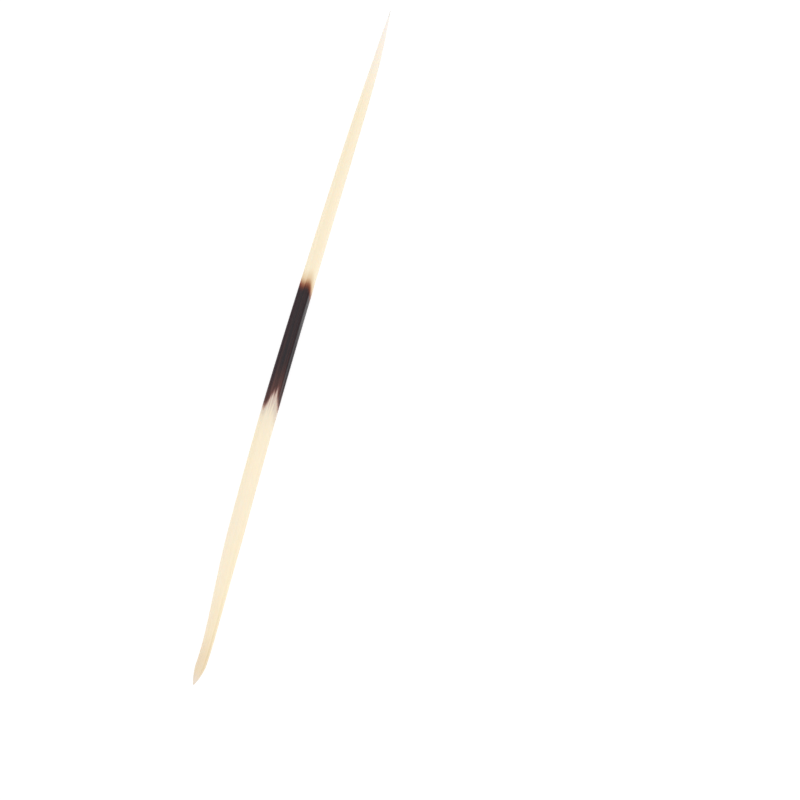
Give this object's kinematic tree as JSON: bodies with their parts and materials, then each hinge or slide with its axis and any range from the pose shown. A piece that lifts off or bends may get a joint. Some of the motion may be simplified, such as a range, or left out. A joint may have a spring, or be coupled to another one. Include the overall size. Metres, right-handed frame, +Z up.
{
  "type": "porcupine quill",
  "caption": "Slender, slightly bowed porcupine quill lying on its side: ivory with a dark band, a short root cone, a swelling shaft and a long taper to a sharp point.",
  "frame": {"origin": "middle of the quill's footprint, on the surface it lies on", "axes": "+X runs along the quill from the root to the sharp tip, +Y is the side that the quill bows towards, +Z is up"},
  "size_m": [0.25, 0.0068, 0.0059],
  "materials": {
    "keratin": "smooth, softly glossy horn, ivory with a brown-black band across the middle and a tan root"
  },
  "bodies": {
    "root": {"quill": "keratin"}
  },
  "joints": []
}
